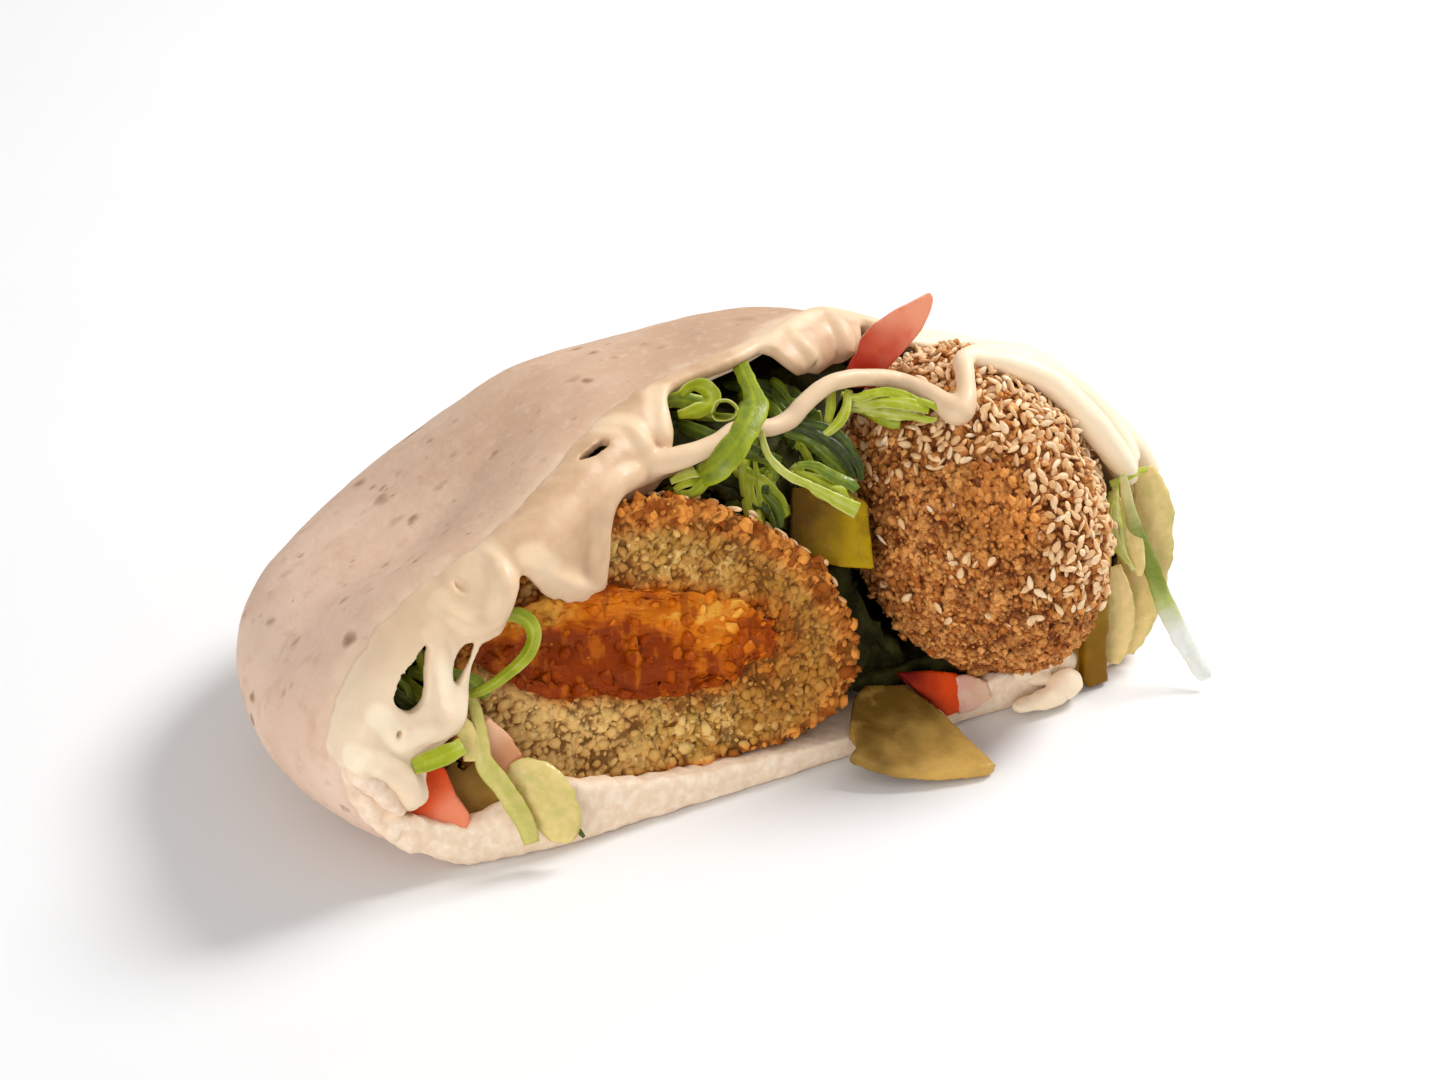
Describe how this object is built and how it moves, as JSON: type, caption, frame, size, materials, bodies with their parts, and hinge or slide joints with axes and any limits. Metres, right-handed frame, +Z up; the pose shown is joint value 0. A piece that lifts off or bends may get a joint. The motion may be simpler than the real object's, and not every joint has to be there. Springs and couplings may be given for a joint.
{
  "type": "falafel pita",
  "caption": "Stuffed pocket bread lying on its flat side, with a cut and a whole sesame falafel, shredded salad, pickles, tomato and tahini sauce in its open mouth.",
  "frame": {"origin": "on the underside the bread rests on, below the middle of the bread's round outline", "axes": "+X along the mouth, from the cut falafel's end to the whole falafel's end; -Y out of the open mouth; +Z up"},
  "size_m": [0.161, 0.1054, 0.0672],
  "materials": {
    "bread": "matt baked bread, pale pinkish beige with small brown specks",
    "crust": "coarse golden brown fried crust with sesame seeds",
    "crumb": "moist coarse crumb, tan with some green, cut across",
    "chilli": "glossy chopped orange-red chilli and onion filling",
    "tomato": "wet orange-red tomato",
    "onion": "moist pale pink pickled onion",
    "pickle": "wet olive pickled cucumber",
    "lettuce": "moist green shredded lettuce",
    "tahini": "thick glossy cream-coloured sesame sauce"
  },
  "bodies": {
    "root": {"pita_bread": "bread", "falafel_whole": "crust", "falafel_cut": "crumb", "chilli_filling": "chilli", "tahini_sauce": "tahini", "tahini_drop": "tahini", "salad_heap": "lettuce", "lettuce_strand": "lettuce", "tomato_top": "tomato", "tomato_left": "tomato", "tomato_right": "tomato", "onion_right": "onion", "pickle_front": "pickle", "pickle_left": "pickle", "pickle_middle": "pickle", "pickle_right": "pickle"}
  },
  "joints": []
}
